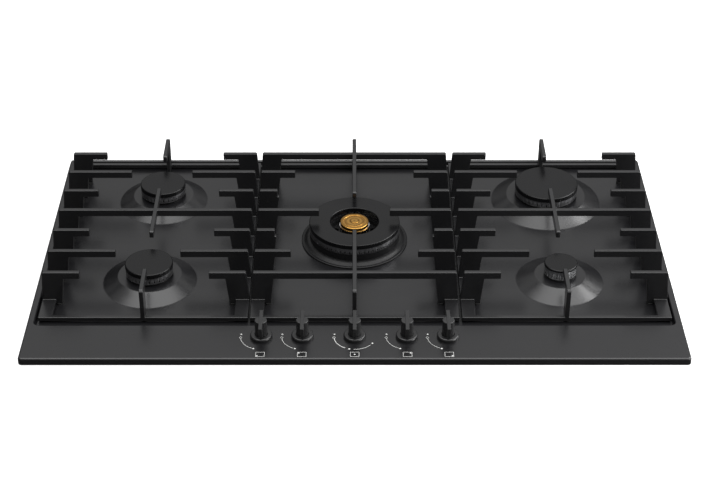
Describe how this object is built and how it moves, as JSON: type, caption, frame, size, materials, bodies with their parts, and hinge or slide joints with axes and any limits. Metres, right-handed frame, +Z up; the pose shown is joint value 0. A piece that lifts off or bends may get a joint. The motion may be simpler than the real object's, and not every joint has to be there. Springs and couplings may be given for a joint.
{
  "type": "gas cooktop",
  "caption": "Wide built-in gas cooktop: recessed black pan, comb-like cast iron pan supports, round burners with a central wok ring and brass cap, and front push-and-turn knobs.",
  "frame": {"origin": "centre of the underside of the bottom casing", "axes": "+X to the right, +Y to the back, +Z up; the knobs are at the front, at -Y"},
  "size_m": [0.9, 0.52, 0.104],
  "materials": {
    "pan_enamel": "matt black enamel on steel",
    "cap_enamel": "satin black enamel on steel",
    "grate_iron": "matt black enamelled cast iron",
    "burner_alloy": "dark cast alloy, burner cups and crowns",
    "polished_alloy": "polished alloy",
    "brass": "turned brass",
    "zinc_steel": "galvanised sheet steel",
    "screw_steel": "zinc plated steel",
    "pipe_alloy": "drawn alloy tube",
    "knob_black": "matt black heat-proof moulding",
    "bezel_black": "satin black moulding",
    "spindle_steel": "turned steel",
    "seal_foam": "closed-cell foam seal",
    "foot_rubber": "heat-proof rubber",
    "spark_ceramic": "glazed ceramic with a steel tip",
    "probe_copper": "copper and steel sheath",
    "box_plastic": "black electrical moulding",
    "print_white": "white print fired into the enamel"
  },
  "bodies": {
    "cooktop": {"pan": "pan_enamel", "rim_gasket": "seal_foam", "bottom_casing": "zinc_steel", "casing_walls": "zinc_steel", "casing_screws": "screw_steel", "hold_down_clamps": "zinc_steel", "burner_rails": "zinc_steel", "burner_screws": "screw_steel", "wok_base_ring": "cap_enamel", "injectors": "brass", "spark_electrodes": "spark_ceramic", "thermocouples": "probe_copper", "knob_bezels": "bezel_black", "gas_taps": "pipe_alloy", "gas_tap_wok": "pipe_alloy", "gas_manifold": "zinc_steel", "gas_inlet": "brass", "gas_pipes": "pipe_alloy", "gas_pipes_wok": "pipe_alloy", "spark_generator": "box_plastic", "terminal_box": "box_plastic", "cable_gland": "box_plastic", "burner_cup_wok": "burner_alloy", "burner_cup_front_left": "burner_alloy", "burner_cup_rear_left": "burner_alloy", "burner_cup_rear_right": "burner_alloy", "burner_cup_front_right": "burner_alloy"},
    "grate_left": {"grate_left": "grate_iron", "grate_feet_left": "foot_rubber"},
    "grate_centre": {"grate_centre": "grate_iron", "grate_feet_centre": "foot_rubber"},
    "grate_right": {"grate_right": "grate_iron", "grate_feet_right": "foot_rubber"},
    "crown_front_left": {"crown_front_left": "burner_alloy"},
    "cap_front_left": {"cap_front_left": "cap_enamel"},
    "crown_rear_left": {"crown_rear_left": "burner_alloy"},
    "cap_rear_left": {"cap_rear_left": "cap_enamel"},
    "crown_rear_right": {"crown_rear_right": "burner_alloy"},
    "cap_rear_right": {"cap_rear_right": "cap_enamel"},
    "crown_front_right": {"crown_front_right": "polished_alloy"},
    "cap_front_right": {"cap_front_right": "cap_enamel"},
    "crown_wok_outer": {"crown_wok_outer": "burner_alloy"},
    "cap_wok_ring": {"cap_wok_ring": "cap_enamel"},
    "crown_wok_inner": {"crown_wok_inner": "polished_alloy"},
    "cap_wok_centre": {"cap_wok_centre": "brass"},
    "pusher_front_left": {"pusher_front_left": "brass"},
    "knob_front_left": {"knob_front_left": "knob_black", "spindle_front_left": "spindle_steel"},
    "pusher_rear_left": {"pusher_rear_left": "brass"},
    "knob_rear_left": {"knob_rear_left": "knob_black", "spindle_rear_left": "spindle_steel"},
    "pusher_wok": {"pusher_wok": "brass"},
    "knob_wok": {"knob_wok": "knob_black", "spindle_wok": "spindle_steel"},
    "pusher_rear_right": {"pusher_rear_right": "brass"},
    "knob_rear_right": {"knob_rear_right": "knob_black", "spindle_rear_right": "spindle_steel"},
    "pusher_front_right": {"pusher_front_right": "brass"},
    "knob_front_right": {"knob_front_right": "knob_black", "spindle_front_right": "spindle_steel"}
  },
  "joints": [
    {"name": "grate_left_lift", "type": "slide", "parent": "cooktop", "child": "grate_left", "axis": [0, 0, 1], "range_m": [0, 0.04]},
    {"name": "grate_centre_lift", "type": "slide", "parent": "cooktop", "child": "grate_centre", "axis": [0, 0, 1], "range_m": [0, 0.04]},
    {"name": "grate_right_lift", "type": "slide", "parent": "cooktop", "child": "grate_right", "axis": [0, 0, 1], "range_m": [0, 0.04]},
    {"name": "crown_front_left_lift", "type": "slide", "parent": "cooktop", "child": "crown_front_left", "axis": [0, 0, 1], "range_m": [0, 0.004]},
    {"name": "cap_front_left_lift", "type": "slide", "parent": "crown_front_left", "child": "cap_front_left", "axis": [0, 0, 1], "range_m": [0, 0.004]},
    {"name": "crown_rear_left_lift", "type": "slide", "parent": "cooktop", "child": "crown_rear_left", "axis": [0, 0, 1], "range_m": [0, 0.004]},
    {"name": "cap_rear_left_lift", "type": "slide", "parent": "crown_rear_left", "child": "cap_rear_left", "axis": [0, 0, 1], "range_m": [0, 0.004]},
    {"name": "crown_rear_right_lift", "type": "slide", "parent": "cooktop", "child": "crown_rear_right", "axis": [0, 0, 1], "range_m": [0, 0.004]},
    {"name": "cap_rear_right_lift", "type": "slide", "parent": "crown_rear_right", "child": "cap_rear_right", "axis": [0, 0, 1], "range_m": [0, 0.004]},
    {"name": "crown_front_right_lift", "type": "slide", "parent": "cooktop", "child": "crown_front_right", "axis": [0, 0, 1], "range_m": [0, 0.004]},
    {"name": "cap_front_right_lift", "type": "slide", "parent": "crown_front_right", "child": "cap_front_right", "axis": [0, 0, 1], "range_m": [0, 0.004]},
    {"name": "crown_wok_outer_lift", "type": "slide", "parent": "cooktop", "child": "crown_wok_outer", "axis": [0, 0, 1], "range_m": [0, 0.004]},
    {"name": "cap_wok_ring_lift", "type": "slide", "parent": "crown_wok_outer", "child": "cap_wok_ring", "axis": [0, 0, 1], "range_m": [0, 0.004]},
    {"name": "crown_wok_inner_lift", "type": "slide", "parent": "cooktop", "child": "crown_wok_inner", "axis": [0, 0, 1], "range_m": [0, 0.004]},
    {"name": "cap_wok_centre_lift", "type": "slide", "parent": "crown_wok_inner", "child": "cap_wok_centre", "axis": [0, 0, 1], "range_m": [0, 0.004]},
    {"name": "push_front_left", "type": "slide", "parent": "cooktop", "child": "pusher_front_left", "axis": [0, 0, -1], "range_m": [0, 0.0035], "stiffness_N_per_m": 1500, "springref_m": -0.003},
    {"name": "turn_front_left", "type": "hinge", "parent": "pusher_front_left", "child": "knob_front_left", "pos_m": [-0.1266, -0.2108, 0.088], "axis": [0, 0, 1], "range_deg": [0, 165]},
    {"name": "push_rear_left", "type": "slide", "parent": "cooktop", "child": "pusher_rear_left", "axis": [0, 0, -1], "range_m": [0, 0.0035], "stiffness_N_per_m": 1500, "springref_m": -0.003},
    {"name": "turn_rear_left", "type": "hinge", "parent": "pusher_rear_left", "child": "knob_rear_left", "pos_m": [-0.0708, -0.2108, 0.088], "axis": [0, 0, 1], "range_deg": [0, 165]},
    {"name": "push_wok", "type": "slide", "parent": "cooktop", "child": "pusher_wok", "axis": [0, 0, -1], "range_m": [0, 0.0035], "stiffness_N_per_m": 1500, "springref_m": -0.003},
    {"name": "turn_wok", "type": "hinge", "parent": "pusher_wok", "child": "knob_wok", "pos_m": [0, -0.2108, 0.088], "axis": [0, 0, 1], "range_deg": [0, 240]},
    {"name": "push_rear_right", "type": "slide", "parent": "cooktop", "child": "pusher_rear_right", "axis": [0, 0, -1], "range_m": [0, 0.0035], "stiffness_N_per_m": 1500, "springref_m": -0.003},
    {"name": "turn_rear_right", "type": "hinge", "parent": "pusher_rear_right", "child": "knob_rear_right", "pos_m": [0.0708, -0.2108, 0.088], "axis": [0, 0, 1], "range_deg": [0, 165]},
    {"name": "push_front_right", "type": "slide", "parent": "cooktop", "child": "pusher_front_right", "axis": [0, 0, -1], "range_m": [0, 0.0035], "stiffness_N_per_m": 1500, "springref_m": -0.003},
    {"name": "turn_front_right", "type": "hinge", "parent": "pusher_front_right", "child": "knob_front_right", "pos_m": [0.1266, -0.2108, 0.088], "axis": [0, 0, 1], "range_deg": [0, 165]}
  ]
}
